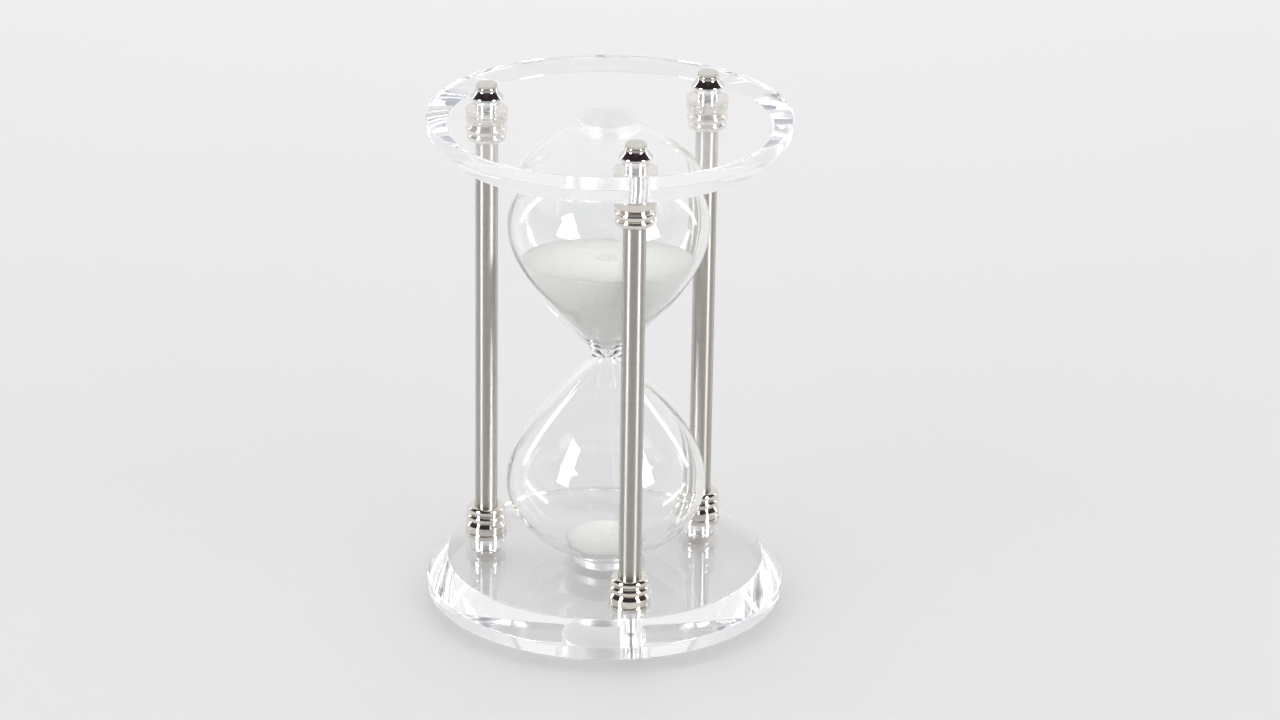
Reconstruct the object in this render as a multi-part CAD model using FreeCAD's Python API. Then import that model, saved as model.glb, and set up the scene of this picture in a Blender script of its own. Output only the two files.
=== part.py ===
"""Hourglass: a sealed two-bulb glass held between two clear discs by three posts.

The frame can be turned over, so both ends are the same and the model mirrors one end about the waist
of the glass. Origin: centre of the frame, on the plane that the base pads stand on. +Z is up.
Lengths are in millimetres. Post 1 stands at the front (-Y).
"""

import FreeCAD, Part
import math
import os

# Discs
disc_diameter = 150.0
disc_thickness = 14.2
bevel_width = 8.4
bevel_height = 8.8
edge_chamfer = 0.4
clear_height = 182.2  # free space between the two discs

# Posts: a tie rod inside a tube
post_count = 3
front_post_angle = -90.0
rod_diameter = 6.0
rod_end_chamfer = 0.5
tube_play = 0.6  # gap between rod and tube
tube_wall = 1.1
hole_play = 1.35  # gap between rod and its hole in a disc
flange_margin = 4.15  # flat rim left between a collar and the disc's bevel

# Collars: from the disc a lip, a groove, a barrel, a tapered neck and two beads; depths are from the
# tube outwards
flange_depth = 4.15
lip_height = 1.9
lip_step = 0.25  # how far the barrel stands back from the lip
lip_groove_height = 0.5
lip_groove_depth = 0.4
barrel_height = 2.95
neck_height = 1.65
bead_height = 3.4
large_bead_depth = 3.8
small_bead_depth = 3.4
groove_depth = 2.5
mouth_rim = 1.2  # flat ring round the tube at the collar's end

# Cap nuts and pads
rod_engagement = 3.9  # length of rod inside each cap nut
nut_cap = 1.1  # metal left over the rod's end
nut_seat_rim = 2.05  # ring of nut that bears on the disc
nut_belly = 0.45  # how far the nut swells past its seat
nut_belly_height = 0.6
nut_shoulder_height = 1.3  # where the rounded belly ends and the straight flank starts
nut_shoulder_step = 0.15  # how far the belly has drawn in there
nut_neck_height = 1.6
nut_neck_flare = 0.25
pad_diameter = 8.5
pad_thickness = 1.3
pad_edge_radius = 0.35
pad_margin = 0.15  # flat rim of nut left round the pad

# Soft rings that carry the glass
ring_outer_diameter = 25.4
ring_inner_diameter = 19.05
pocket_depth = 8.5

# Glass
bulb_gap = 7.1  # between a bulb and the tubes
crown_rise = 33.6  # from the widest place of a bulb to its pole
crown_corner_radius = 25.0
glass_wall = 1.8
waist_radius = 6.1
orifice_radius = 1.1
waist_pull = 5.0  # how far the outside runs straight on at the waist
orifice_pull = 2.2  # the same for the inside
shoulder_pull = 26.0  # how far the wall runs straight on below the widest place

# Sand
upper_sand_height = 42.3  # level above the waist, on the axis
upper_sand_tilt = 7.2  # degrees; the sand was turned over and has not settled level
high_side_angle = -101.6  # direction, seen from above, in which the upper sand rises
crater_radius = 6.0
crater_depth = 3.0
lower_sand_radius = 17.0  # where the heap's edge meets the glass
lower_sand_height = 10.2
heap_crest_radius = 6.5  # how far the heap's top runs out flat

# Clearances
bore_clearance = 0.2  # on the radius, rod in collar and nut, and past the rod's end
socket_clearance = 0.1  # on the radius, tube in collar
ring_clearance = 0.1  # on the radius, ring in pocket
seat_clearance = 0.15  # glass above its ring
sand_clearance = 0.3  # sand inside the glass

# Sizes that follow from those above
rod_radius = rod_diameter / 2
tube_radius = rod_radius + tube_play + tube_wall
rod_hole_radius = rod_radius + hole_play
flange_radius = tube_radius + flange_depth
disc_radius = disc_diameter / 2
disc_face_radius = disc_radius - bevel_width
post_circle_radius = disc_face_radius - flange_margin - flange_radius
bulb_radius = post_circle_radius - tube_radius - bulb_gap
nut_seat_radius = rod_hole_radius + nut_seat_rim
nut_radius = nut_seat_radius + nut_belly
nut_top_radius = pad_diameter / 2 + pad_margin
nut_height = rod_engagement + bore_clearance + nut_cap
flange_height = lip_height + lip_groove_height + barrel_height + neck_height
collar_height = flange_height + 2 * bead_height
foot_height = nut_height + pad_thickness
base_face_height = foot_height + disc_thickness  # inner face of the base disc
waist_height = base_face_height + clear_height / 2
bulb_centre_height = clear_height / 2 - crown_rise  # from the waist to the widest place of a bulb

Z_AXIS = FreeCAD.Vector(0, 0, 1)
ORIGIN = FreeCAD.Vector(0, 0, 0)


def point(radius, height):
    """A point of an outline that is turned about +Z."""
    return FreeCAD.Vector(radius, 0, height)


def line(start, end):
    return Part.LineSegment(start, end).toShape()


def arc(start, middle, end):
    return Part.Arc(start, middle, end).toShape()


def arc_about(centre, radius, start_angle, end_angle):
    """Arc in the outline's plane; angles in radians, counted from outwards to up."""
    def on_arc(angle):
        return centre + point(radius * math.cos(angle), radius * math.sin(angle))
    return arc(on_arc(start_angle), on_arc((start_angle + end_angle) / 2), on_arc(end_angle))


def chain(points):
    """Straight edges through the points."""
    return [line(a, b) for a, b in zip(points, points[1:])]


def turned(edges):
    """The solid made by turning a closed outline a full turn about +Z."""
    face = Part.Face(Part.Wire(Part.__sortEdges__(edges)))
    solid = face.revolve(ORIGIN, Z_AXIS, 360)
    return solid if solid.Volume > 0 else solid.reversed()


def turned_polygon(points):
    return turned(chain(points + points[:1]))


def cylinder(radius, bottom, top):
    return Part.makeCylinder(radius, top - bottom, point(0, bottom))


def post_place(index):
    """Centre of a post on the ground plane."""
    angle = math.radians(front_post_angle + index * 360.0 / post_count)
    return FreeCAD.Vector(post_circle_radius * math.cos(angle), post_circle_radius * math.sin(angle), 0)


def at_post(shape, index):
    return shape.translated(post_place(index))


def at_top(shape):
    """The same piece at the top end of the frame."""
    return shape.mirror(FreeCAD.Vector(0, 0, waist_height), Z_AXIS)


def disc():
    """Base disc: full width outside, bevelled inside, drilled for the rods, with the ring's pocket."""
    blank = turned_polygon([
        point(0, foot_height),
        point(disc_radius - edge_chamfer, foot_height),
        point(disc_radius, foot_height + edge_chamfer),
        point(disc_radius, base_face_height - bevel_height),
        point(disc_face_radius, base_face_height),
        point(0, base_face_height),
    ])
    for index in range(post_count):
        blank = blank.cut(at_post(cylinder(rod_hole_radius, foot_height, base_face_height), index))
    pocket_radius = ring_outer_diameter / 2 + ring_clearance
    return blank.cut(cylinder(pocket_radius, base_face_height - pocket_depth, base_face_height))


def seat_ring():
    """Soft ring in the pocket, which stands a little proud to meet the glass."""
    bottom = base_face_height - pocket_depth
    top = waist_height - crown_height_at(ring_inner_diameter / 2) - seat_clearance
    ring = cylinder(ring_outer_diameter / 2, bottom, top)
    return ring.cut(cylinder(ring_inner_diameter / 2, bottom, top))


def collar():
    """Turned collar on the base disc, with a bore for the rod and a socket for the tube."""
    foot = base_face_height
    lip = foot + lip_height
    barrel_foot = lip + lip_groove_height
    barrel_top = barrel_foot + barrel_height
    neck = foot + flange_height
    first_joint = neck + bead_height
    mouth = foot + collar_height
    groove_radius = tube_radius + groove_depth
    bore_radius = rod_radius + bore_clearance
    socket_radius = tube_radius + socket_clearance
    mouth_radius = socket_radius + mouth_rim
    barrel_radius = flange_radius - lip_step
    lip_groove_radius = barrel_radius - lip_groove_depth
    edges = chain([
        point(mouth_radius, mouth),
        point(socket_radius, mouth),
        point(socket_radius, neck),
        point(bore_radius, neck),
        point(bore_radius, foot),
        point(flange_radius, foot),
        point(flange_radius, lip),
        point(lip_groove_radius, lip),
        point(lip_groove_radius, barrel_foot),
        point(barrel_radius, barrel_foot),
        point(barrel_radius, barrel_top),
        point(groove_radius, neck),
    ])
    edges.append(arc(
        point(groove_radius, neck),
        point(tube_radius + large_bead_depth, neck + bead_height / 2),
        point(groove_radius, first_joint),
    ))
    edges.append(arc(
        point(groove_radius, first_joint),
        point(tube_radius + small_bead_depth, first_joint + bead_height / 2),
        point(mouth_radius, mouth),
    ))
    return turned(edges)


def cap_nut():
    """Low nut under the base disc: rounded belly, tapered flank and a short neck for the pad; blind."""
    seat = foot_height
    end = seat - nut_height
    bore_end = end + nut_cap
    bore_radius = rod_radius + bore_clearance
    shoulder = point(nut_radius - nut_shoulder_step, seat - nut_shoulder_height)
    edges = chain([
        shoulder,
        point(nut_top_radius + nut_neck_flare, end + nut_neck_height),
        point(nut_top_radius, end),
        point(0, end),
        point(0, bore_end),
        point(bore_radius, bore_end),
        point(bore_radius, seat),
        point(nut_seat_radius, seat),
    ])
    edges.append(arc(
        point(nut_seat_radius, seat),
        point(nut_radius, seat - nut_belly_height),
        shoulder,
    ))
    return turned(edges)


def pad():
    """Round bumper on the end of a cap nut, with its outer edge rounded."""
    radius = pad_diameter / 2
    edges = chain([
        point(radius - pad_edge_radius, 0),
        point(0, 0),
        point(0, pad_thickness),
        point(radius, pad_thickness),
        point(radius, pad_edge_radius),
    ])
    centre = point(radius - pad_edge_radius, pad_edge_radius)
    edges.append(arc_about(centre, pad_edge_radius, 0, -math.pi / 2))
    return turned(edges)


def post_tube():
    """Tube between the flanges of its two collars."""
    bottom = base_face_height + flange_height
    top = bottom + clear_height - 2 * flange_height
    outside = cylinder(tube_radius, bottom, top)
    return outside.cut(cylinder(tube_radius - tube_wall, bottom, top))


def tie_rod():
    """Rod from nut to nut, with chamfered ends."""
    bottom = foot_height - rod_engagement
    top = 2 * waist_height - bottom
    return turned_polygon([
        point(0, bottom),
        point(rod_radius - rod_end_chamfer, bottom),
        point(rod_radius, bottom + rod_end_chamfer),
        point(rod_radius, top - rod_end_chamfer),
        point(rod_radius - rod_end_chamfer, top),
        point(0, top),
    ])


def crown_drop():
    """How far the centre of the crown's large arc lies nearer the waist than the widest place.

    The corner arc is tangent to the wall at the widest place, and the large arc is tangent to the
    corner arc and flat at the pole.
    """
    corner_offset = bulb_radius - crown_corner_radius
    rise_past_corner = crown_rise - crown_corner_radius
    return (corner_offset**2 - rise_past_corner**2) / (2 * rise_past_corner)


def crown_height_at(radius):
    """Height of the crown's large arc above the waist, at a distance from the axis."""
    crown_radius = crown_rise + crown_drop()
    return bulb_centre_height - crown_drop() + math.sqrt(crown_radius**2 - radius**2)


def bulb_edges(inset, throat, pull):
    """Wall of the upper bulb from the waist to its pole, moved inwards by inset."""
    widest = bulb_radius - inset
    centre = waist_height + bulb_centre_height
    flare = Part.BezierCurve()
    flare.setPoles([
        point(throat, waist_height),
        point(throat, waist_height + pull),
        point(widest, centre - shoulder_pull),
        point(widest, centre),
    ])
    drop = crown_drop()
    corner_offset = bulb_radius - crown_corner_radius
    joint_angle = math.atan2(drop, corner_offset)
    corner_radius = crown_corner_radius - inset
    large_radius = crown_rise + drop - inset
    corner = arc_about(point(corner_offset, centre), corner_radius, 0, joint_angle)
    crown = arc_about(point(0, centre - drop), large_radius, joint_angle, math.pi / 2)
    return [flare.toShape(), corner, crown]


def filled_bulb(inset, throat, pull):
    """The upper bulb as one solid body, its wall moved inwards by inset."""
    pole = waist_height + clear_height / 2 - inset
    closing = chain([point(0, pole), point(0, waist_height), point(throat, waist_height)])
    return turned(bulb_edges(inset, throat, pull) + closing)


def filled_bulbs(inset, throat, pull):
    upper = filled_bulb(inset, throat, pull)
    return upper.fuse(at_top(upper)).removeSplitter()


def glass():
    """Blown glass: the wall is thick at the waist and leaves a narrow orifice."""
    outside = filled_bulbs(0, waist_radius, waist_pull)
    return outside.cut(filled_bulbs(glass_wall, orifice_radius, orifice_pull))


def upper_sand():
    """Sand above the orifice: a tilted surface with the crater that running sand leaves in it."""
    level = waist_height + upper_sand_height
    bottom = level - clear_height
    crater = Part.BezierCurve()
    crater.setPoles([
        point(crater_radius, level),
        point(crater_radius / 2, level - crater_depth),
        point(0, level - crater_depth),
    ])
    fill = turned([crater.toShape()] + chain([
        point(0, level - crater_depth),
        point(0, bottom),
        point(disc_radius, bottom),
        point(disc_radius, level),
        point(crater_radius, level),
    ]))
    high_side = math.radians(high_side_angle)
    tilt_axis = FreeCAD.Vector(math.sin(high_side), -math.cos(high_side), 0)
    fill.rotate(point(0, level), tilt_axis, upper_sand_tilt)
    throat = orifice_radius - sand_clearance
    return filled_bulb(glass_wall + sand_clearance, throat, orifice_pull).common(fill)


def lower_sand():
    """Heap on the crown of the lower bulb."""
    centre = point(0, waist_height - bulb_centre_height + crown_drop())
    radius = crown_rise + crown_drop() - glass_wall - sand_clearance
    edge_angle = -math.acos(lower_sand_radius / radius)
    floor = arc_about(centre, radius, -math.pi / 2, edge_angle)
    pole = point(0, centre.z - radius)
    edge = centre + point(radius * math.cos(edge_angle), radius * math.sin(edge_angle))
    tip = pole + point(0, lower_sand_height)
    slope = Part.BezierCurve()
    slope.setPoles([edge, tip + point(heap_crest_radius, 0), tip])
    return turned([floor, slope.toShape()] + chain([tip, pole]))


def write(node, shape):
    solids = shape.Solids
    if len(solids) != 1 or not shape.isValid():
        raise ValueError(f"{node} isn't one valid solid")
    solids[0].exportStep(f"parts/{node}.step")
    print(f"{node} {solids[0].Volume:.1f} mm3")


os.makedirs("parts", exist_ok=True)
write("base_disc", disc())
write("top_disc", at_top(disc()))
write("base_seat_ring", seat_ring())
write("top_seat_ring", at_top(seat_ring()))
write("glass", glass())
write("upper_sand", upper_sand())
write("lower_sand", lower_sand())
for index in range(post_count):
    number = index + 1
    write(f"post_tube_{number}", at_post(post_tube(), index))
    write(f"tie_rod_{number}", at_post(tie_rod(), index))
    for name, piece in (("collar", collar()), ("cap_nut", cap_nut()), ("pad", pad())):
        write(f"base_{name}_{number}", at_post(piece, index))
        write(f"top_{name}_{number}", at_post(at_top(piece), index))
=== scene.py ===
import math

import bpy
from mathutils import Matrix, Vector, noise


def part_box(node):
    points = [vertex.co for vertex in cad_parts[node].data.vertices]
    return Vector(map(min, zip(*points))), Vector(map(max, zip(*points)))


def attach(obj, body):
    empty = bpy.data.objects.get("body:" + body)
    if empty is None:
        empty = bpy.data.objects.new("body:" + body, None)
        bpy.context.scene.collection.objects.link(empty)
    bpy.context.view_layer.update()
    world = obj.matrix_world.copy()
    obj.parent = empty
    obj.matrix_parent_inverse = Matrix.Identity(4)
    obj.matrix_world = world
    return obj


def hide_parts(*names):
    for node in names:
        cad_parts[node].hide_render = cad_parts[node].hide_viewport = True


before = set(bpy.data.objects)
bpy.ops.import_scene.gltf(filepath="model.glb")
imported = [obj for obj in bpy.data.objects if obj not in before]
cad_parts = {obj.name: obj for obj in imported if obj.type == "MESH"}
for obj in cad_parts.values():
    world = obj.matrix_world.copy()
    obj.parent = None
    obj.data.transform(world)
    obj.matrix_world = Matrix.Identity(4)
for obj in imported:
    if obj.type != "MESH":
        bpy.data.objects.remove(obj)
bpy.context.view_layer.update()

# Hourglass: a sealed two-bulb glass between two clear discs, held by three posts. Metres, +Z up.
# Both ends are alike, so outlines are written as (distance from the axis, distance from the waist).

# Places and sizes read from the frame
base_low, base_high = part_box("base_disc")
top_low, top_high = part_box("top_disc")
glass_low, glass_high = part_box("glass")
WAIST = (base_high.z + top_low.z) / 2
DISC_RADIUS = (base_high.x - base_low.x) / 2
DISC_FACE = top_low.z - WAIST  # the discs' inner faces, from the waist
DISC_BACK = top_high.z - WAIST  # their outer faces
BULB_RADIUS = (glass_high.x - glass_low.x) / 2
POST_NUMBERS = (1, 2, 3)
ENDS = {"base": -1, "top": 1}

# Discs
BEVEL_WIDTH = 0.0084
BEVEL_HEIGHT = 0.0088
DISC_EDGE_SOFTNESS = 0.0004
ROD_HOLE_RADIUS = 0.00435
POCKET_RADIUS = 0.0128
POCKET_DEPTH = 0.0085
CUTTER_OVERLAP = 0.002  # how far a drill or cutter passes the face that it enters
ACRYLIC_IOR = 1.49

# Collars, nuts and pads; depths are from the tube outwards
TUBE_WALL = 0.0011
LIP_HEIGHT = 0.0019
LIP_STEP = 0.00025
LIP_GROOVE_HEIGHT = 0.0005
LIP_GROOVE_DEPTH = 0.0004
BARREL_HEIGHT = 0.00295
NECK_HEIGHT = 0.00165
FLANGE_HEIGHT = LIP_HEIGHT + LIP_GROOVE_HEIGHT + BARREL_HEIGHT + NECK_HEIGHT
BEAD_HEIGHT = 0.0034
LARGE_BEAD_DEPTH = 0.0038
SMALL_BEAD_DEPTH = 0.0034
GROOVE_DEPTH = 0.0025
MOUTH_RIM = 0.0013
SOCKET_PLAY = 0.0001
METAL_EDGE = 0.00012
CONTACT_GAP = 0.00004  # air film between pieces that bear on each other
NUT_SEAT_RADIUS = 0.0064
NUT_BELLY_HEIGHT = 0.0006
NUT_SHOULDER_HEIGHT = 0.0013
NUT_SHOULDER_STEP = 0.00015
NUT_NECK_HEIGHT = 0.0016
NUT_NECK_FLARE = 0.00025
NUT_EDGE = 0.0004
PAD_MARGIN = 0.00015
PAD_EDGE = 0.00035
RING_INNER_RADIUS = 0.009525
VINYL_EDGE = 0.00035

# Tie rods
THREAD_PITCH = 0.001
THREAD_DEPTH = 0.00055
THREAD_LENGTH = 0.0085

# Glass
CROWN_RISE = 0.0336
CROWN_CORNER = 0.025
GLASS_WALL = 0.0018
WAIST_RADIUS = 0.0061
ORIFICE_RADIUS = 0.0011
WAIST_PULL = 0.005
ORIFICE_PULL = 0.0022
SHOULDER_PULL = 0.026
BULB_CENTRE = DISC_FACE - CROWN_RISE
CORNER_OFFSET = BULB_RADIUS - CROWN_CORNER
PAST_CORNER = CROWN_RISE - CROWN_CORNER
CROWN_DROP = (CORNER_OFFSET**2 - PAST_CORNER**2) / (2 * PAST_CORNER)  # crown's centre, past the bulb's
BLOWN_DEPTH = 0.00001
BLOWN_SCALE = 38
BLOWN_FADE_RADIUS = 0.02

# Sand
SAND_GAP = 0.0003
UPPER_SAND_HEIGHT = 0.0423
UPPER_SAND_TILT = math.radians(7.2)
HIGH_SIDE = math.radians(-101.6)
CRATER_RADIUS = 0.006
CRATER_DEPTH = 0.003
HEAP_EDGE_RADIUS = 0.017
HEAP_HEIGHT = 0.0102
HEAP_CREST = 0.0065
GRAIN_RIPPLE = 0.00012
COARSE_GRAIN_SCALE = 420
FINE_GRAIN_SCALE = 1300
FINE_GRAIN_SHARE = 0.6
SMOOTH_RIM = 0.001  # the grains settle flat this close to the glass

# Camera
CAMERA_AZIMUTH = -11.6
CAMERA_ELEVATION = 22.53
CAMERA_DISTANCE = 1.8972
CAMERA_LENS = 128.25
AIM_RIGHT = 0.01366
AIM_DOWN = 0.0028
CAMERA_ROLL = 0.0151
BACK_AZIMUTH = CAMERA_AZIMUTH + 180


# Meshes
ON_AXIS = 1e-9
STRAIGHT_ENOUGH = math.radians(155)  # a step of a curve turns less than a corner does
SHARP_ANGLE = math.radians(38)

# Studio
SENSOR_WIDTH = 36
FLOOR_REACH = 9.0


# ---------------------------------------------------------------- outlines

def arc_points(centre, radius, start, end, steps):
    """Points on an arc; angles in radians, counted from outwards to up."""
    turn = [start + (end - start) * i / steps for i in range(steps + 1)]
    return [(centre[0] + radius * math.cos(a), centre[1] + radius * math.sin(a)) for a in turn]


def bezier_points(controls, steps):
    """Points on the Bezier curve of any number of control points."""
    points = []
    for i in range(steps + 1):
        t = i / steps
        level = [Vector(c) for c in controls]
        while len(level) > 1:
            level = [a.lerp(b, t) for a, b in zip(level, level[1:])]
        points.append((level[0].x, level[0].y))
    return points


def bulge(start, middle, end, steps=16):
    """Points on the arc through three points."""
    (ax, ay), (bx, by), (cx, cy) = start, middle, end
    twice = 2 * (ax * (by - cy) + bx * (cy - ay) + cx * (ay - by))
    a2, b2, c2 = ax * ax + ay * ay, bx * bx + by * by, cx * cx + cy * cy
    x = (a2 * (by - cy) + b2 * (cy - ay) + c2 * (ay - by)) / twice
    y = (a2 * (cx - bx) + b2 * (ax - cx) + c2 * (bx - ax)) / twice
    first = math.atan2(ay - y, ax - x)
    past_middle = (math.atan2(by - y, bx - x) - first + math.pi) % math.tau - math.pi
    last = (math.atan2(cy - y, cx - x) - first) % math.tau
    if past_middle < 0:
        last -= math.tau
    return arc_points((x, y), math.hypot(ax - x, ay - y), first, first + last, steps)


def softened(corners, radius, steps=5):
    """A closed outline with every plain corner that is off the axis eased by a small curve."""
    points = []
    for before, corner, after in zip(corners[-1:] + corners[:-1], corners, corners[1:] + corners[:1]):
        here = Vector(corner)
        back, on = Vector(before) - here, Vector(after) - here
        if corner[0] < ON_AXIS or back.angle(on) > STRAIGHT_ENOUGH:
            points.append(corner)
            continue
        reach = min(radius, 0.4 * back.length, 0.4 * on.length)
        controls = [here + back.normalized() * reach, here, here + on.normalized() * reach]
        points += bezier_points(controls, steps)
    return points


# ---------------------------------------------------------------- meshes

def signed_area(outline):
    return sum(a[0] * b[1] - b[0] * a[1] for a, b in zip(outline, outline[1:] + outline[:1])) / 2


def turned(name, outline, end=1, place=(0, 0), segments=96, wobble=None):
    """A mesh object made by turning a closed outline about a vertical axis.

    end is 1 for the top of the frame and -1 for the base. wobble moves a point, given as
    (radius, height, angle), along its radius.
    """
    outline = [(r, WAIST + end * h) for r, h in outline]
    if signed_area(outline) < 0:
        outline.reverse()
    angles = [math.tau * j / segments for j in range(segments)]
    points, rings = [], []
    for r, z in outline:
        first = len(points)
        if r < ON_AXIS:
            points.append((place[0], place[1], z))
            rings.append([first] * segments)
            continue
        for a in angles:
            spread = r + wobble(r, z, a) if wobble else r
            points.append((place[0] + spread * math.cos(a), place[1] + spread * math.sin(a), z))
        rings.append(list(range(first, first + segments)))
    faces = []
    for low, high in zip(rings, rings[1:] + rings[:1]):
        for j in range(segments):
            k = (j + 1) % segments
            corners = list(dict.fromkeys((low[j], low[k], high[k], high[j])))
            if len(corners) > 2:
                faces.append(corners)
    mesh = bpy.data.meshes.new(name)
    mesh.from_pydata(points, [], faces)
    mesh.shade_smooth()
    mesh.set_sharp_from_angle(angle=SHARP_ANGLE)
    return link(name, mesh)


def link(name, mesh):
    piece = bpy.data.objects.new(name, mesh)
    bpy.context.scene.collection.objects.link(piece)
    return piece


def post_place(number):
    low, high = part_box(f"post_tube_{number}")
    return ((low.x + high.x) / 2, (low.y + high.y) / 2)


def half_width(node):
    low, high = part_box(node)
    return (high.x - low.x) / 2


def cut_out(piece, cutters):
    """Cuts the cutters' bodies out of the piece's mesh."""
    for cutter in cutters:
        cut = piece.modifiers.new("cut", "BOOLEAN")
        cut.operation = "DIFFERENCE"
        cut.solver = "EXACT"
        cut.object = cutter
    bpy.context.view_layer.update()
    seen = piece.evaluated_get(bpy.context.evaluated_depsgraph_get())
    mesh = bpy.data.meshes.new_from_object(seen)
    mesh.name = piece.name
    piece.modifiers.clear()
    piece.data = mesh
    for cutter in cutters:
        bpy.data.objects.remove(cutter)
    mesh.shade_smooth()
    mesh.set_sharp_from_angle(angle=SHARP_ANGLE)
    flat = piece.modifiers.new("flat faces stay flat", "WEIGHTED_NORMAL")
    flat.keep_sharp = True


TUBE_RADIUS = half_width("post_tube_1")
ROD_RADIUS = half_width("tie_rod_1")
FLANGE_RADIUS = half_width("base_collar_1")
PAD_RADIUS = half_width("base_pad_1")
NUT_RADIUS = half_width("base_cap_nut_1")
NUT_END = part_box("top_cap_nut_1")[1].z - WAIST
PAD_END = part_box("top_pad_1")[1].z - WAIST
ROD_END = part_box("tie_rod_1")[1].z - WAIST
RING_OUTER_RADIUS = half_width("top_seat_ring")
RING_NEAR_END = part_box("top_seat_ring")[0].z - WAIST


def disc(name, end):
    """Clear disc with a bevelled inner edge, three drilled holes and the pocket for the soft ring."""
    face_radius = DISC_RADIUS - BEVEL_WIDTH
    outline = softened([
        (0, DISC_FACE),
        (face_radius, DISC_FACE),
        (DISC_RADIUS, DISC_FACE + BEVEL_HEIGHT),
        (DISC_RADIUS, DISC_BACK),
        (0, DISC_BACK),
    ], DISC_EDGE_SOFTNESS)
    piece = turned(name, outline, end, segments=288)
    before_face, past_back = DISC_FACE - CUTTER_OVERLAP, DISC_BACK + CUTTER_OVERLAP
    cutters = []
    for number in POST_NUMBERS:
        hole = [
            (0, before_face),
            (ROD_HOLE_RADIUS, before_face),
            (ROD_HOLE_RADIUS, past_back),
            (0, past_back),
        ]
        cutters.append(turned("hole", hole, end, post_place(number), segments=72))
    pocket_end = DISC_FACE + POCKET_DEPTH
    pocket = [
        (0, before_face),
        (POCKET_RADIUS, before_face),
        (POCKET_RADIUS, pocket_end),
        (0, pocket_end),
    ]
    cutters.append(turned("pocket", pocket, end, segments=96))
    cut_out(piece, cutters)
    for material in (clear_acrylic, bored_acrylic, milled_acrylic):
        piece.data.materials.append(material)
    posts = [Vector(post_place(number)) for number in POST_NUMBERS]
    for face in piece.data.polygons:
        depth = abs(face.center.z - WAIST)
        inside = DISC_FACE + CONTACT_GAP < depth < DISC_BACK - CONTACT_GAP
        spot = face.center.xy
        in_hole = any((spot - post).length < ROD_HOLE_RADIUS + CONTACT_GAP for post in posts)
        in_pocket = spot.length < POCKET_RADIUS + CONTACT_GAP
        face.material_index = 1 if inside and in_hole else 2 if inside and in_pocket else 0
    return piece


def seat_ring(name, end):
    """Soft ring that stands a little proud of the disc to meet the glass."""
    pocket_end = DISC_FACE + POCKET_DEPTH - CONTACT_GAP
    outline = softened([
        (RING_INNER_RADIUS, RING_NEAR_END),
        (RING_OUTER_RADIUS, RING_NEAR_END),
        (RING_OUTER_RADIUS, pocket_end),
        (RING_INNER_RADIUS, pocket_end),
    ], VINYL_EDGE)
    return turned(name, outline, end, segments=96)


def collar(name, end, place):
    """Turned collar: lip, groove, barrel, tapered neck and two beads, bored for the rod and the tube."""
    face = DISC_FACE - CONTACT_GAP
    lip = DISC_FACE - LIP_HEIGHT
    barrel_start = lip - LIP_GROOVE_HEIGHT
    barrel_end = barrel_start - BARREL_HEIGHT
    neck = DISC_FACE - FLANGE_HEIGHT
    joint = neck - BEAD_HEIGHT
    mouth = joint - BEAD_HEIGHT
    barrel = FLANGE_RADIUS - LIP_STEP
    lip_groove = barrel - LIP_GROOVE_DEPTH
    groove = TUBE_RADIUS + GROOVE_DEPTH
    socket = TUBE_RADIUS + SOCKET_PLAY
    bore = ROD_RADIUS + 2 * SOCKET_PLAY
    mouth_radius = TUBE_RADIUS + MOUTH_RIM
    flange = [
        (bore, face),
        (FLANGE_RADIUS, face),
        (FLANGE_RADIUS, lip),
        (lip_groove, lip),
        (lip_groove, barrel_start),
        (barrel, barrel_start),
        (barrel, barrel_end),
    ]
    large_crest = (TUBE_RADIUS + LARGE_BEAD_DEPTH, (neck + joint) / 2)
    small_crest = (TUBE_RADIUS + SMALL_BEAD_DEPTH, (joint + mouth) / 2)
    large = bulge((groove, neck), large_crest, (groove, joint))
    small = bulge((groove, joint), small_crest, (mouth_radius, mouth))
    socket_walls = [(socket, mouth), (socket, neck), (bore, neck)]
    outline = softened(flange + large + small[1:] + socket_walls, METAL_EDGE, steps=4)
    return turned(name, outline, end, place, segments=96)


def cap_nut(name, end, place):
    """Low nut: rounded belly, tapered flank and a short neck with a flat end for its pad; blind."""
    seat = DISC_BACK + CONTACT_GAP
    bore = ROD_RADIUS + 2 * SOCKET_PLAY
    bore_end = ROD_END + 2 * SOCKET_PLAY
    top = PAD_RADIUS + PAD_MARGIN
    shoulder = (NUT_RADIUS - NUT_SHOULDER_STEP, DISC_BACK + NUT_SHOULDER_HEIGHT)
    belly = bulge((NUT_SEAT_RADIUS, seat), (NUT_RADIUS, DISC_BACK + NUT_BELLY_HEIGHT), shoulder)
    outline = softened(belly + [
        (top + NUT_NECK_FLARE, NUT_END - NUT_NECK_HEIGHT),
        (top, NUT_END),
        (0, NUT_END),
        (0, bore_end),
        (bore, bore_end),
        (bore, seat),
    ], NUT_EDGE, steps=6)
    return turned(name, outline, end, place, segments=96)


def pad(name, end, place):
    """Round stick-on bumper."""
    outline = [(0, NUT_END + CONTACT_GAP), (PAD_RADIUS, NUT_END + CONTACT_GAP)]
    outline += arc_points((PAD_RADIUS - PAD_EDGE, PAD_END - PAD_EDGE), PAD_EDGE, 0, math.pi / 2, 8)
    outline += [(0, PAD_END)]
    return turned(name, outline, end, place, segments=64)


def post_tube(name, place):
    """Plain tube from one collar's neck to the other's."""
    reach = DISC_FACE - FLANGE_HEIGHT
    inside = TUBE_RADIUS - TUBE_WALL
    outline = softened([
        (inside, -reach),
        (TUBE_RADIUS, -reach),
        (TUBE_RADIUS, reach),
        (inside, reach),
    ], METAL_EDGE)
    return turned(name, outline, 1, place, segments=128)


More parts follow.
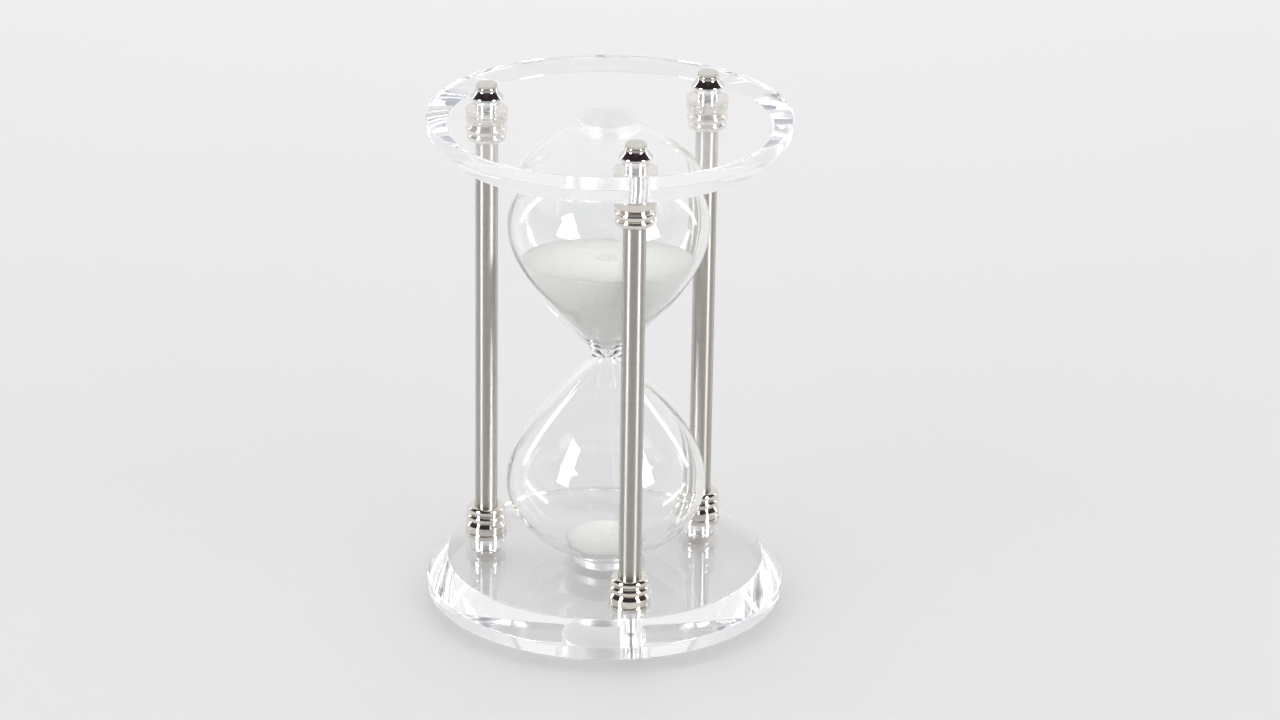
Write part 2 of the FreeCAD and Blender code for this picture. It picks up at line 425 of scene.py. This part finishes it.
def tie_rod(name, place):
    """Rod with a rolled thread on both ends."""
    steps_per_turn = 8
    threaded = [ROD_END - THREAD_PITCH * i / steps_per_turn
                for i in range(round(THREAD_LENGTH / THREAD_PITCH * steps_per_turn))]
    outline = [(0, ROD_END)] + [(ROD_RADIUS, h) for h in threaded]
    outline += [(ROD_RADIUS, -h) for h in reversed(threaded)] + [(0, -ROD_END)]

    def thread(radius, z, angle):
        height = abs(z - WAIST)
        from_end = ROD_END - height
        turns = (z / THREAD_PITCH - angle / math.tau) % 1
        groove = THREAD_DEPTH * (1 - abs(2 * turns - 1))
        lead_in = max(0, 1 - from_end / (1.5 * THREAD_PITCH)) * THREAD_DEPTH
        run_out = min(1, max(0, (THREAD_LENGTH - from_end) / THREAD_PITCH - 1))
        return -max(groove * run_out, lead_in)
    return turned(name, outline, 1, place, segments=48, wobble=thread)


# ---------------------------------------------------------------- glass and sand

def bulb_wall(inset, throat, pull):
    """Wall of one bulb from the waist to its pole, moved inwards by inset."""
    joint = math.atan2(CROWN_DROP, CORNER_OFFSET)
    widest = BULB_RADIUS - inset
    flare = bezier_points([
        (throat, 0),
        (throat, pull),
        (widest, BULB_CENTRE - SHOULDER_PULL),
        (widest, BULB_CENTRE),
    ], 72)
    corner = arc_points((CORNER_OFFSET, BULB_CENTRE), CROWN_CORNER - inset, 0, joint, 18)
    crown_centre = (0, BULB_CENTRE - CROWN_DROP)
    crown = arc_points(crown_centre, CROWN_RISE + CROWN_DROP - inset, joint, math.pi / 2, 30)
    crown[-1] = (0, crown[-1][1])
    return flare + corner[1:] + crown[1:]


def blown(radius, z, angle):
    """The slight unevenness of a wall blown by hand."""
    spot = Vector((math.cos(angle) * radius, math.sin(angle) * radius, z)) * BLOWN_SCALE
    fade = min(1, radius / BLOWN_FADE_RADIUS)
    return BLOWN_DEPTH * fade * noise.noise(spot)


def glass(name):
    """Both bulbs and their waist as one sealed wall."""
    outside = bulb_wall(0, WAIST_RADIUS, WAIST_PULL)
    inside = bulb_wall(GLASS_WALL, ORIFICE_RADIUS, ORIFICE_PULL)
    outline = [(r, -h) for r, h in reversed(outside)] + outside[1:]
    outline += [(r, h) for r, h in reversed(inside)] + [(r, -h) for r, h in inside[1:]]
    return turned(name, outline, 1, segments=224, wobble=blown)


def grains(spot):
    """Height of the loose grains at a place on the sand."""
    coarse = noise.noise(spot * COARSE_GRAIN_SCALE)
    fine = noise.noise(spot * FINE_GRAIN_SCALE)
    return GRAIN_RIPPLE * (coarse + FINE_GRAIN_SHARE * fine)


def sand_mesh(name, rings, top, bottom):
    """Skin over rings of points, closed at the middle of its surface and at its lowest point."""
    points = [bottom] + [p for ring in rings for p in ring] + [top]
    count = len(rings[0])
    faces = []
    for j in range(count):
        k = (j + 1) % count
        faces.append((0, 1 + k, 1 + j))
        for i in range(len(rings) - 1):
            here, above = 1 + i * count, 1 + (i + 1) * count
            faces.append((here + j, here + k, above + k, above + j))
        last = 1 + (len(rings) - 1) * count
        faces.append((last + j, last + k, len(points) - 1))
    mesh = bpy.data.meshes.new(name)
    mesh.from_pydata(points, [], faces)
    mesh.shade_smooth()
    return link(name, mesh)


def upper_sand(name):
    """Sand above the orifice: tilted, with the crater that running sand leaves in it."""
    wall = bulb_wall(GLASS_WALL + SAND_GAP, ORIFICE_RADIUS - SAND_GAP, ORIFICE_PULL)
    wall_steps, surface_steps, count = 60, 56, 288
    columns = []
    for j in range(count):
        angle = math.tau * j / count
        slope = math.tan(UPPER_SAND_TILT) * math.cos(angle - HIGH_SIDE)

        def above(point):
            return point[1] - UPPER_SAND_HEIGHT - slope * point[0]
        n = next(i for i, p in enumerate(wall) if above(p) > 0)
        share = above(wall[n - 1]) / (above(wall[n - 1]) - above(wall[n]))
        rim = Vector(wall[n - 1]).lerp(Vector(wall[n]), share)
        reach = n - 1 + share
        column = []
        for i in range(wall_steps):
            at = reach * i / wall_steps
            k = int(at)
            r, h = Vector(wall[k]).lerp(Vector(wall[k + 1]), at - k)
            column.append((r, h))
        for i in range(surface_steps):
            r = rim.x * (1 - i / surface_steps)
            dip = CRATER_DEPTH * max(0, 1 - (r / CRATER_RADIUS) ** 2) ** 1.5
            h = UPPER_SAND_HEIGHT + slope * r - dip
            loose = grains(Vector((r * math.cos(angle), r * math.sin(angle), 0)))
            column.append((r, h + loose * min(1, (rim.x - r) / SMOOTH_RIM)))
        columns.append([(r * math.cos(angle), r * math.sin(angle), WAIST + h) for r, h in column])
    rings = [[column[i] for column in columns] for i in range(wall_steps + surface_steps)]
    top = (0, 0, WAIST + UPPER_SAND_HEIGHT - CRATER_DEPTH)
    bottom = (0, 0, WAIST)
    return sand_mesh(name, rings, top, bottom)


def lower_sand(name):
    """Heap on the crown of the lower bulb."""
    centre = WAIST - BULB_CENTRE + CROWN_DROP
    radius = CROWN_RISE + CROWN_DROP - GLASS_WALL - SAND_GAP
    edge_angle = -math.acos(HEAP_EDGE_RADIUS / radius)
    underside = arc_points((0, centre), radius, -math.pi / 2, edge_angle, 24)[1:]
    pole = centre - radius
    tip = pole + HEAP_HEIGHT
    slope = bezier_points([underside[-1], (HEAP_CREST, tip), (0, tip)], 60)[1:-1]
    count = 256
    angles = [math.tau * j / count for j in range(count)]
    rings = []
    for r, z in underside:
        rings.append([(r * math.cos(a), r * math.sin(a), z) for a in angles])
    for r, z in slope:
        ring = []
        for a in angles:
            spot = Vector((r * math.cos(a), r * math.sin(a), 0))
            loose = grains(spot) * min(1, (HEAP_EDGE_RADIUS - r) / SMOOTH_RIM)
            ring.append((spot.x, spot.y, z + loose))
        rings.append(ring)
    return sand_mesh(name, rings, (0, 0, tip), (0, 0, pole))


# ---------------------------------------------------------------- shader groups

def add(tree, kind, inputs=None, **settings):
    """Adds a shader node. An input's value is a plain value, or an output socket to link."""
    node = tree.nodes.new(kind)
    for key, value in settings.items():
        setattr(node, key, value)
    for key, value in (inputs or {}).items():
        if isinstance(value, bpy.types.NodeSocket):
            tree.links.new(value, node.inputs[key])
        else:
            node.inputs[key].default_value = value
    return node


def new_group(name, inputs, outputs):
    """A shader node group whose inputs are (name, default) and whose outputs are names."""
    tree = bpy.data.node_groups.new(name, "ShaderNodeTree")
    for label, default in inputs:
        socket = tree.interface.new_socket(label, in_out="INPUT", socket_type="NodeSocketFloat")
        socket.default_value = default
    for label in outputs:
        tree.interface.new_socket(label, in_out="OUTPUT", socket_type="NodeSocketFloat")
    return tree, tree.nodes.new("NodeGroupInput"), tree.nodes.new("NodeGroupOutput")


def group_soft_waves():
    """Long shallow waves left by casting, polishing or blowing. Size is in metres."""
    tree, given, out = new_group("soft waves", [("Size", 0.02), ("Ripple", 0.3)], ["Height"])
    place = add(tree, "ShaderNodeTexCoord").outputs["Object"]
    scale = add(tree, "ShaderNodeMath", {0: 1.0, 1: given.outputs["Size"]}, operation="DIVIDE")
    long_waves = add(tree, "ShaderNodeTexNoise",
                     {"Vector": place, "Scale": scale.outputs[0], "Detail": 1.0})
    short = add(tree, "ShaderNodeMath", {0: scale.outputs[0], 1: 3.7}, operation="MULTIPLY")
    short_waves = add(tree, "ShaderNodeTexNoise",
                      {"Vector": place, "Scale": short.outputs[0], "Detail": 2.0})
    mixed = add(tree, "ShaderNodeMath", {
        0: short_waves.outputs["Fac"],
        1: given.outputs["Ripple"],
        2: long_waves.outputs["Fac"],
    }, operation="MULTIPLY_ADD")
    tree.links.new(mixed.outputs[0], out.inputs["Height"])
    return tree


def group_fine_scratches():
    """Hairline handling scratches, as a mask. Size is the length of the longest, in metres."""
    tree, given, out = new_group("fine scratches", [("Size", 0.01), ("Amount", 0.5)], ["Mask"])
    place = add(tree, "ShaderNodeTexCoord").outputs["Object"]
    scale = add(tree, "ShaderNodeMath", {0: 1.0, 1: given.outputs["Size"]}, operation="DIVIDE")
    masks = []
    for turn, stretch in ((0.5, 26.0), (2.1, 34.0)):
        turned_place = add(tree, "ShaderNodeMapping", {
            "Vector": place,
            "Rotation": (turn * 0.4, turn * 0.3, turn),
            "Scale": (1.0, stretch, stretch),
        })
        lines = add(tree, "ShaderNodeTexVoronoi", {
            "Vector": turned_place.outputs[0],
            "Scale": scale.outputs[0],
        }, feature="DISTANCE_TO_EDGE")
        line = add(tree, "ShaderNodeMapRange", {
            "Value": lines.outputs["Distance"],
            "From Min": 0.0,
            "From Max": 0.02,
            "To Min": 1.0,
            "To Max": 0.0,
        })
        masks.append(line.outputs[0])
    either = add(tree, "ShaderNodeMath", {0: masks[0], 1: masks[1]}, operation="MAXIMUM")
    patches = add(tree, "ShaderNodeTexNoise", {"Vector": place, "Scale": scale.outputs[0]})
    worn = add(tree, "ShaderNodeMapRange", {
        "Value": patches.outputs["Fac"],
        "From Min": 0.45,
        "From Max": 0.65,
    })
    here = add(tree, "ShaderNodeMath", {0: either.outputs[0], 1: worn.outputs[0]}, operation="MULTIPLY")
    final = add(tree, "ShaderNodeMath", {0: here.outputs[0], 1: given.outputs["Amount"]},
                operation="MULTIPLY")
    tree.links.new(final.outputs[0], out.inputs["Mask"])
    return tree


def group_turning_marks():
    """Fine rings cut by a lathe tool or brush, across the height. Pitch is in metres."""
    tree, given, out = new_group("turning marks", [("Pitch", 0.0002)], ["Height", "Shade"])
    place = add(tree, "ShaderNodeTexCoord").outputs["Object"]
    height = add(tree, "ShaderNodeSeparateXYZ", {0: place}).outputs["Z"]
    count = add(tree, "ShaderNodeMath", {0: height, 1: given.outputs["Pitch"]}, operation="DIVIDE")
    rings = add(tree, "ShaderNodeTexNoise", {"W": count.outputs[0], "Scale": 1.0, "Detail": 3.0},
                noise_dimensions="1D")
    slow = add(tree, "ShaderNodeMath", {0: count.outputs[0], 1: 0.037}, operation="MULTIPLY")
    bands = add(tree, "ShaderNodeTexNoise", {"W": slow.outputs[0], "Scale": 1.0, "Detail": 2.0},
                noise_dimensions="1D")
    tree.links.new(rings.outputs["Fac"], out.inputs["Height"])
    tree.links.new(bands.outputs["Fac"], out.inputs["Shade"])
    return tree


def group_speckle():
    """Grains: a height and a shade that differ from grain to grain. Size is in metres."""
    tree, given, out = new_group("speckle", [("Size", 0.0004)], ["Height", "Shade"])
    place = add(tree, "ShaderNodeTexCoord").outputs["Object"]
    scale = add(tree, "ShaderNodeMath", {0: 1.0, 1: given.outputs["Size"]}, operation="DIVIDE")
    cells = add(tree, "ShaderNodeTexVoronoi", {"Vector": place, "Scale": scale.outputs[0]})
    domes = add(tree, "ShaderNodeMath", {0: 1.0, 1: cells.outputs["Distance"]}, operation="SUBTRACT")
    shade = add(tree, "ShaderNodeSeparateColor", {0: cells.outputs["Color"]})
    tree.links.new(domes.outputs[0], out.inputs["Height"])
    tree.links.new(shade.outputs[0], out.inputs["Shade"])
    return tree


soft_waves = group_soft_waves()
fine_scratches = group_fine_scratches()
turning_marks = group_turning_marks()
speckle = group_speckle()


# ---------------------------------------------------------------- materials

def place_group(tree, group, **values):
    node = tree.nodes.new("ShaderNodeGroup")
    node.node_tree = group
    for key, value in values.items():
        node.inputs[key].default_value = value
    return node


def mix_colours(tree, share, first, second):
    node = add(tree, "ShaderNodeMix", {0: share}, data_type="RGBA")
    node.inputs[6].default_value = (*first, 1)
    node.inputs[7].default_value = (*second, 1)
    return node.outputs[2]


def ranged(tree, value, low, high):
    """A value from 0 to 1 spread between two limits."""
    return add(tree, "ShaderNodeMapRange", {"Value": value, "To Min": low, "To Max": high}).outputs[0]


def colour_steps(tree, value, steps):
    """A colour that follows a value through (place, colour) steps."""
    ramp = add(tree, "ShaderNodeValToRGB", {0: value})
    stops = ramp.color_ramp.elements
    stops.remove(stops[1])
    for n, (place, colour) in enumerate(steps):
        stop = stops[0] if n == 0 else stops.new(place)
        stop.position = place
        stop.color = (*colour, 1)
    return ramp.outputs[0]


def bump(tree, height, depth, strength=1.0):
    return add(tree, "ShaderNodeBump", {
        "Height": height,
        "Distance": depth,
        "Strength": strength,
    }).outputs[0]


def new_material(name):
    material = bpy.data.materials.new(name)
    material.use_nodes = True
    tree = material.node_tree
    tree.nodes.clear()
    return material, tree, tree.nodes.new("ShaderNodeOutputMaterial")


def finish_clear(tree, out, shader, shade_tint):
    """Lets the lamps' light through a clear piece, a little dimmed."""
    path = add(tree, "ShaderNodeLightPath")
    through = add(tree, "ShaderNodeBsdfTransparent", {"Color": (*shade_tint, 1)})
    mixed = add(tree, "ShaderNodeMixShader", {
        0: path.outputs["Is Shadow Ray"],
        1: shader.outputs[0],
        2: through.outputs[0],
    })
    tree.links.new(mixed.outputs[0], out.inputs["Surface"])


def clear_material(name, pale, deep, ior, waves, wave_depth, scratch, rough, shade_tint):
    """Transparent piece: soft waves in its surface and a few hairline scratches."""
    material, tree, out = new_material(name)
    wave = place_group(tree, soft_waves, **waves)
    marks = place_group(tree, fine_scratches, **scratch)
    colour = mix_colours(tree, wave.outputs["Height"], pale, deep)
    roughness = ranged(tree, marks.outputs["Mask"], rough[0], rough[1])
    shader = add(tree, "ShaderNodeBsdfPrincipled", {
        "Base Color": colour,
        "Roughness": roughness,
        "IOR": ior,
        "Transmission Weight": 1.0,
        "Metallic": 0.0,
        "Normal": bump(tree, wave.outputs["Height"], wave_depth),
    })
    finish_clear(tree, out, shader, shade_tint)
    return material


def cut_acrylic(name, clearest, haziest):
    """Drilled or milled acrylic: hazy, with rings from the cutter."""
    material, tree, out = new_material(name)
    rings = place_group(tree, turning_marks, Pitch=0.0004)
    haze = place_group(tree, soft_waves, Size=0.002, Ripple=0.5)
    colour = mix_colours(tree, haze.outputs["Height"], (0.99, 0.992, 0.995), (0.97, 0.975, 0.98))
    roughness = ranged(tree, haze.outputs["Height"], clearest, haziest)
    shader = add(tree, "ShaderNodeBsdfPrincipled", {
        "Base Color": colour,
        "Roughness": roughness,
        "IOR": ACRYLIC_IOR,
        "Transmission Weight": 1.0,
        "Metallic": 0.0,
        "Normal": bump(tree, rings.outputs["Height"], 0.000006),
    })
    finish_clear(tree, out, shader, (0.93, 0.935, 0.94))
    return material


def metal_material(name, pale, deep, rough, pitch, depth, anisotropy=0.0, scratch_amount=0.4):
    """Turned or brushed metal: rings from the tool, faint bands and hairline scratches."""
    material, tree, out = new_material(name)
    rings = place_group(tree, turning_marks, Pitch=pitch)
    marks = place_group(tree, fine_scratches, Size=0.006, Amount=scratch_amount)
    colour = mix_colours(tree, rings.outputs["Shade"], pale, deep)
    band = ranged(tree, rings.outputs["Shade"], rough[0], rough[1])
    roughness = add(tree, "ShaderNodeMath", {0: marks.outputs["Mask"], 1: 0.12, 2: band},
                    operation="MULTIPLY_ADD")
    shader = add(tree, "ShaderNodeBsdfPrincipled", {
        "Base Color": colour,
        "Metallic": 1.0,
        "Roughness": roughness.outputs[0],
        "Anisotropic": anisotropy,
        "Anisotropic Rotation": 0.25,
        "Normal": bump(tree, rings.outputs["Height"], depth),
    })
    if anisotropy:
        tangent = add(tree, "ShaderNodeTangent", direction_type="RADIAL", axis="Z")
        tree.links.new(tangent.outputs[0], shader.inputs["Tangent"])
    tree.links.new(shader.outputs[0], out.inputs["Surface"])
    return material


def make_sand():
    """Fine pale sand, faintly green, with brighter and duller grains."""
    material, tree, out = new_material("sand_grains")
    grain = place_group(tree, speckle, Size=0.00035)
    clumps = place_group(tree, soft_waves, Size=0.006, Ripple=0.8)
    fine = mix_colours(tree, grain.outputs["Shade"], (0.93, 0.935, 0.91), (0.83, 0.835, 0.81))
    broad = mix_colours(tree, clumps.outputs["Height"], (1.0, 1.0, 1.0), (0.96, 0.965, 0.955))
    colour = add(tree, "ShaderNodeMix", {0: 1.0, 6: fine, 7: broad}, data_type="RGBA",
                 blend_type="MULTIPLY")
    shader = add(tree, "ShaderNodeBsdfPrincipled", {
        "Base Color": colour.outputs[2],
        "Roughness": ranged(tree, grain.outputs["Shade"], 0.55, 0.9),
        "Specular IOR Level": 0.4,
        "Normal": bump(tree, grain.outputs["Height"], 0.0001, 0.6),
    })
    tree.links.new(shader.outputs[0], out.inputs["Surface"])
    return material


def make_pad_rubber():
    """Cream bumper rubber with a fine mould texture and a trace of dust."""
    material, tree, out = new_material("bumper_rubber")
    skin = place_group(tree, speckle, Size=0.00022)
    dust = place_group(tree, soft_waves, Size=0.003, Ripple=0.6)
    colour = mix_colours(tree, dust.outputs["Height"], (0.74, 0.71, 0.66), (0.66, 0.635, 0.58))
    shader = add(tree, "ShaderNodeBsdfPrincipled", {
        "Base Color": colour,
        "Roughness": ranged(tree, skin.outputs["Shade"], 0.5, 0.7),
        "Normal": bump(tree, skin.outputs["Height"], 0.00002, 0.5),
        "Subsurface Weight": 0.15,
        "Subsurface Scale": 0.001,
    })
    tree.links.new(shader.outputs[0], out.inputs["Surface"])
    return material


clear_acrylic = clear_material(
    "clear_acrylic", (0.997, 0.997, 0.997), (0.985, 0.987, 0.99), ACRYLIC_IOR,
    {"Size": 0.03, "Ripple": 0.1}, 0.000003,
    {"Size": 0.012, "Amount": 0.5}, (0.0, 0.12), (0.95, 0.955, 0.96))
bored_acrylic = cut_acrylic("bored_acrylic", 0.1, 0.16)
milled_acrylic = cut_acrylic("milled_acrylic", 0.25, 0.4)
clear_vinyl = clear_material(
    "clear_vinyl", (0.97, 0.975, 0.965), (0.95, 0.955, 0.94), 1.5,
    {"Size": 0.004, "Ripple": 0.4}, 0.00004,
    {"Size": 0.003, "Amount": 0.8}, (0.06, 0.2), (0.9, 0.9, 0.89))
blown_glass = clear_material(
    "blown_glass", (0.997, 1.0, 0.998), (0.993, 0.998, 0.994), 1.48,
    {"Size": 0.024, "Ripple": 0.2}, 0.000008,
    {"Size": 0.02, "Amount": 0.3}, (0.0, 0.08), (0.96, 0.965, 0.962))
sand_grains = make_sand()
bumper_rubber = make_pad_rubber()
brushed_nickel = metal_material(
    "brushed_nickel", (0.53, 0.507, 0.48), (0.49, 0.472, 0.445), (0.33, 0.39), 0.00006, 0.000001,
    anisotropy=0.95, scratch_amount=0.15)
polished_nickel = metal_material(
    "polished_nickel", (0.80, 0.765, 0.71), (0.74, 0.70, 0.65), (0.04, 0.1), 0.0003, 0.000002,
    scratch_amount=0.5)
chromed_nut = metal_material(
    "chromed_nut", (0.78, 0.76, 0.75), (0.72, 0.70, 0.69), (0.02, 0.06), 0.0004, 0.000001,
    scratch_amount=0.3)
drawn_rod = metal_material(
    "drawn_rod", (0.70, 0.69, 0.67), (0.64, 0.63, 0.61), (0.34, 0.4), 0.0001, 0.000001,
    anisotropy=0.9, scratch_amount=0.15)


# ---------------------------------------------------------------- assembly

def mount(piece, material, slot, *nodes):
    """Gives a piece its finish, if it has none yet, and puts it in the place of its CAD nodes."""
    if material is not None:
        piece.data.materials.append(material)
    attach(piece, "root")
    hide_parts(*nodes)


for end_name, end in ENDS.items():
    mount(disc(f"{end_name}_disc_clear", end), None, "acrylic", f"{end_name}_disc")
    ring = seat_ring(f"{end_name}_seat_ring_soft", end)
    mount(ring, clear_vinyl, "clear_vinyl", f"{end_name}_seat_ring")
    for number in POST_NUMBERS:
        place = post_place(number)
        for kind, make, material, slot in (
            ("collar", collar, polished_nickel, "polished_nickel"),
            ("cap_nut", cap_nut, chromed_nut, "chrome_nut"),
            ("pad", pad, bumper_rubber, "bumper_pad"),
        ):
            node = f"{end_name}_{kind}_{number}"
            mount(make(f"{node}_turned", end, place), material, slot, node)

for number in POST_NUMBERS:
    place = post_place(number)
    tube = post_tube(f"post_tube_{number}_brushed", place)
    mount(tube, brushed_nickel, "satin_nickel", f"post_tube_{number}")
    rod = tie_rod(f"tie_rod_{number}_threaded", place)
    mount(rod, drawn_rod, "threaded_steel", f"tie_rod_{number}")

mount(glass("blown_bulbs"), blown_glass, "blown_glass", "glass")
mount(upper_sand("upper_sand_grains"), sand_grains, "sand", "upper_sand")
mount(lower_sand("lower_sand_grains"), sand_grains, "sand", "lower_sand")


# ---------------------------------------------------------------- studio

def toward(azimuth, elevation):
    """Direction from the object; azimuth 0 is the front (-Y), angles in degrees."""
    a, e = math.radians(azimuth), math.radians(elevation)
    return Vector((math.sin(a) * math.cos(e), -math.cos(a) * math.cos(e), math.sin(e)))


def camera():
    """The camera, turned to the waist."""
    back = toward(CAMERA_AZIMUTH, CAMERA_ELEVATION)
    right = Vector((0, 0, 1)).cross(back).normalized()
    up = back.cross(right)
    aim = Vector((0, 0, WAIST)) + right * AIM_RIGHT - up * AIM_DOWN
    turn = Matrix.Rotation(CAMERA_ROLL, 4, back)
    axes = Matrix((right, up, back)).transposed().to_4x4()
    data = bpy.data.cameras.new("camera")
    data.lens = CAMERA_LENS
    data.sensor_width = SENSOR_WIDTH
    data.clip_start = 0.05
    data.clip_end = 100
    viewer = bpy.data.objects.new("camera", data)
    bpy.context.scene.collection.objects.link(viewer)
    viewer.matrix_world = Matrix.Translation(aim + back * CAMERA_DISTANCE) @ turn @ axes
    bpy.context.scene.camera = viewer


def spare_matt_pieces(data):
    """Keeps a mirrored lamp from lighting matt pieces through the glass."""
    data.use_nodes = True
    tree = data.node_tree
    path = add(tree, "ShaderNodeLightPath")
    share = add(tree, "ShaderNodeMath", {0: 1.0, 1: path.outputs["Diffuse Depth"]},
                operation="SUBTRACT", use_clamp=True)
    tree.links.new(share.outputs[0], tree.nodes["Emission"].inputs["Strength"])


def lamp(name, azimuth, elevation, distance, width, height, power, mirrored, aim=(0, 0)):
    """Rectangular lamp; a mirrored one shows in glossy surfaces, the others light matt ones.

    aim is (azimuth, distance) of the spot, level with the waist, that it is turned to.
    """
    data = bpy.data.lights.new(name, "AREA")
    data.shape = "RECTANGLE"
    data.size = width
    data.size_y = height
    data.energy = power
    stand = bpy.data.objects.new(name, data)
    bpy.context.scene.collection.objects.link(stand)
    middle = Vector((0, 0, WAIST)) + toward(aim[0], 0) * aim[1]
    back = toward(azimuth, elevation)
    stand.location = middle + back * distance
    stand.rotation_mode = "QUATERNION"
    stand.rotation_quaternion = (-back).to_track_quat("-Z", "Y")
    stand.visible_camera = False
    stand.visible_diffuse = not mirrored
    stand.visible_glossy = mirrored
    stand.visible_transmission = mirrored
    if mirrored:
        spare_matt_pieces(data)


def floor():
    """Seamless pale paper."""
    mesh = bpy.data.meshes.new("paper_floor")
    corners = [(x * FLOOR_REACH, y * FLOOR_REACH, 0) for x, y in ((-1, -1), (1, -1), (1, 1), (-1, 1))]
    mesh.from_pydata(corners, [], [(0, 1, 2, 3)])
    sheet = link("paper_floor", mesh)
    material, tree, out = new_material("studio_paper")
    fibres = place_group(tree, speckle, Size=0.0008)
    clouds = place_group(tree, soft_waves, Size=0.3, Ripple=0.2)
    colour = mix_colours(tree, clouds.outputs["Height"], (0.86, 0.855, 0.86), (0.84, 0.845, 0.845))
    shader = add(tree, "ShaderNodeBsdfPrincipled", {
        "Base Color": colour,
        "Roughness": ranged(tree, fibres.outputs["Shade"], 0.75, 0.9),
        "Specular IOR Level": 0.2,
        "Normal": bump(tree, fibres.outputs["Height"], 0.00002, 0.3),
    })
    tree.links.new(shader.outputs[0], out.inputs["Surface"])
    sheet.data.materials.append(material)


def surroundings():
    """Pale surroundings; in reflections the side of the room behind the camera is dark.

    What a ray finds depends on how it left: matt pieces find an even fill, matt pieces under
    glass find a light that makes up for what the glass holds back, and eyes and mirrors find
    the room.
    """
    world = bpy.data.worlds.new("studio")
    bpy.context.scene.world = world
    world.use_nodes = True
    tree = world.node_tree
    tree.nodes.clear()
    out = tree.nodes.new("ShaderNodeOutputWorld")
    direction = add(tree, "ShaderNodeTexCoord").outputs["Generated"]
    front = add(tree, "ShaderNodeVectorMath", {0: direction, 1: toward(CAMERA_AZIMUTH, 0)},
                operation="DOT_PRODUCT").outputs["Value"]
    spread = add(tree, "ShaderNodeMapRange", {"Value": front, "From Min": -1.0, "From Max": 1.0})
    height = add(tree, "ShaderNodeSeparateXYZ", {0: direction}).outputs["Z"]
    path = add(tree, "ShaderNodeLightPath")

    # The room in mirrors: a pale backdrop, and a dark wall behind the camera
    room_wall = colour_steps(tree, height, (
        (0.0, (0.50, 0.47, 0.43)),
        (0.20, (0.40, 0.37, 0.34)),
        (0.34, (0.07, 0.055, 0.055)),
        (0.85, (0.035, 0.025, 0.03)),
        (1.0, (0.22, 0.21, 0.20)),
    ))
    behind = add(tree, "ShaderNodeMapRange", {
        "Value": spread.outputs[0], "From Min": 0.22, "From Max": 0.38,
    })
    around = add(tree, "ShaderNodeMix", {0: behind.outputs[0], 7: room_wall}, data_type="RGBA")
    around.inputs[6].default_value = (0.90, 0.89, 0.90, 1)
    room = add(tree, "ShaderNodeBackground", {"Color": around.outputs[2], "Strength": 1.0})

    # The same room seen directly or through clear pieces: softer, and never dark
    haze = add(tree, "ShaderNodeMapRange", {
        "Value": spread.outputs[0], "From Min": 0.3, "From Max": 0.7,
    })
    wide = mix_colours(tree, haze.outputs[0], (0.94, 0.935, 0.945), (0.38, 0.40, 0.47))
    pale = add(tree, "ShaderNodeBackground", {"Color": wide, "Strength": 1.0})
    mirrored = add(tree, "ShaderNodeMath", {
        0: path.outputs["Is Glossy Ray"],
        1: path.outputs["Is Transmission Ray"],
    }, operation="SUBTRACT", use_clamp=True)
    seen = add(tree, "ShaderNodeMixShader", {
        0: mirrored.outputs[0], 1: pale.outputs[0], 2: room.outputs[0],
    })

    # Light for matt pieces under glass, stronger from low down, where the front of the sand faces
    from_sides = add(tree, "ShaderNodeMapRange", {
        "Value": height, "From Min": 0.15, "From Max": 0.55, "To Min": 3.2, "To Max": 1.15,
    })
    through_glass = add(tree, "ShaderNodeBackground", {
        "Color": (1.0, 0.995, 1.0, 1), "Strength": from_sides.outputs[0],
    })
    left_matt = add(tree, "ShaderNodeMath", {0: path.outputs["Diffuse Depth"], 1: 1.0},
                    operation="MINIMUM")
    glazed = add(tree, "ShaderNodeMixShader", {
        0: left_matt.outputs[0], 1: seen.outputs[0], 2: through_glass.outputs[0],
    })

    # Light for matt pieces in the open
    fill = add(tree, "ShaderNodeBackground", {"Color": (1.0, 0.995, 1.0, 1), "Strength": 0.81})
    eye_or_mirror = add(tree, "ShaderNodeMath", {
        0: path.outputs["Is Camera Ray"],
        1: path.outputs["Is Glossy Ray"],
    }, operation="MAXIMUM")
    eye_mirror_or_glass = add(tree, "ShaderNodeMath", {
        0: eye_or_mirror.outputs[0],
        1: path.outputs["Is Transmission Ray"],
    }, operation="MAXIMUM")
    lit = add(tree, "ShaderNodeMixShader", {
        0: eye_mirror_or_glass.outputs[0], 1: fill.outputs[0], 2: glazed.outputs[0],
    })
    tree.links.new(lit.outputs[0], out.inputs["Surface"])


camera()
floor()
surroundings()
for side, name in ((-1, "left"), (1, "right")):
    lamp(f"{name}_softbox", azimuth=CAMERA_AZIMUTH + side * 53, elevation=26, distance=1.7,
         width=0.44, height=0.85, power=22, mirrored=True)
    lamp(f"{name}_rear_strip", azimuth=CAMERA_AZIMUTH + side * 117, elevation=16, distance=1.8,
         width=0.11, height=1.1, power=2.6, mirrored=True)
    lamp(f"{name}_key", azimuth=CAMERA_AZIMUTH + side * 50, elevation=40, distance=1.9,
         width=1.4, height=1.0, power=3, mirrored=False)
lamp("backdrop_lamp", azimuth=BACK_AZIMUTH, elevation=90, distance=1.2,
     width=1.2, height=0.8, power=6, mirrored=False, aim=(BACK_AZIMUTH, 1.6))

view = bpy.context.scene.view_settings
view.view_transform = "Standard"
view.look = "None"
paths = bpy.context.scene.cycles
paths.max_bounces = 40
paths.transmission_bounces = 40
paths.glossy_bounces = 40
paths.transparent_max_bounces = 24
